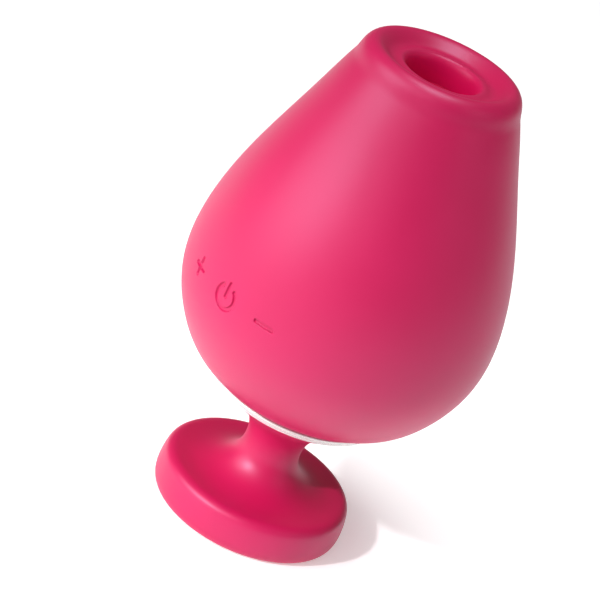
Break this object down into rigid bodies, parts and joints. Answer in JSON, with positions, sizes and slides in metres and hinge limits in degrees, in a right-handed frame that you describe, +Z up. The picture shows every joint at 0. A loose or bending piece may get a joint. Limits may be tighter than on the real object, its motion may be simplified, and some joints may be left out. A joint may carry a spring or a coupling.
{
  "type": "stemmed air-pulse massager",
  "caption": "Handheld soft-skinned massager shaped like a small stemmed glass: an egg-shaped bowl with a round mouth on top, push buttons, a thin trim ring and a round foot.",
  "frame": {"origin": "centre of the foot's underside, on the surface it stands on", "axes": "+Z up along the axis to the mouth, the buttons face -Y"},
  "size_m": [0.0636, 0.0636, 0.1039],
  "materials": {
    "silicone_skin": "matte soft-touch silicone",
    "silicone_inner": "matte silicone",
    "chrome_trim": "bright plated",
    "hard_plastic": "matte",
    "base_plastic": "fine texture",
    "white_plastic": "matte",
    "gold_contact": "gold plated",
    "magnet": "nickel plated",
    "steel": "satin",
    "brass": "machined",
    "copper_wire": "enamelled",
    "lead_cover": "satin",
    "gasket_rubber": "matte",
    "key_stem": "matte",
    "switch_body": "matte",
    "circuit_board": "solder mask",
    "cell_wrap": "shrink wrap"
  },
  "bodies": {
    "root": {"foot_skin": "silicone_skin", "bowl_skin": "silicone_skin", "mouth_lip": "silicone_skin", "nozzle_cup": "silicone_inner", "diaphragm": "silicone_inner", "foot_core": "hard_plastic", "base_cap": "base_plastic", "charge_contacts": "gold_contact", "charge_magnets": "magnet", "foot_ballast": "steel", "charge_leads": "lead_cover", "charge_plug": "white_plastic", "trim_ring": "chrome_trim", "neck_gasket": "gasket_rubber", "shell_front": "hard_plastic", "shell_rear": "hard_plastic", "shell_screws": "steel", "neck_screws": "steel", "drive_screws": "steel", "tact_switches": "switch_body", "button_board": "circuit_board", "main_board": "circuit_board", "chassis": "white_plastic", "battery_cell": "cell_wrap", "drive_housing": "hard_plastic", "rod_bush": "brass", "coil_bobbin": "white_plastic", "coil_winding": "copper_wire", "end_plate": "white_plastic", "lower_spring": "gasket_rubber", "upper_spring": "gasket_rubber", "clamp_ring": "hard_plastic"},
    "button_plus": {"pad_plus": "silicone_skin", "key_plus": "hard_plastic", "stem_plus": "key_stem"},
    "button_power": {"pad_power": "silicone_skin", "key_power": "hard_plastic", "stem_power": "key_stem"},
    "button_minus": {"pad_minus": "silicone_skin", "key_minus": "hard_plastic", "stem_minus": "key_stem"},
    "plunger": {"drive_magnet": "magnet", "pole_caps": "steel", "drive_rod": "steel"}
  },
  "joints": [
    {"name": "press_plus", "type": "slide", "parent": "root", "child": "button_plus", "axis": [0, 1, 0], "range_m": [0, 0.00025], "stiffness_N_per_m": 2000},
    {"name": "press_power", "type": "slide", "parent": "root", "child": "button_power", "axis": [0, 1, 0], "range_m": [0, 0.00025], "stiffness_N_per_m": 2000},
    {"name": "press_minus", "type": "slide", "parent": "root", "child": "button_minus", "axis": [0, 1, 0], "range_m": [0, 0.00025], "stiffness_N_per_m": 2000},
    {"name": "pulse_stroke", "type": "slide", "parent": "root", "child": "plunger", "axis": [0, 0, 1], "range_m": [-0.001, 0.001], "stiffness_N_per_m": 2500, "deforming": ["lower_spring", "upper_spring", "diaphragm"]}
  ]
}
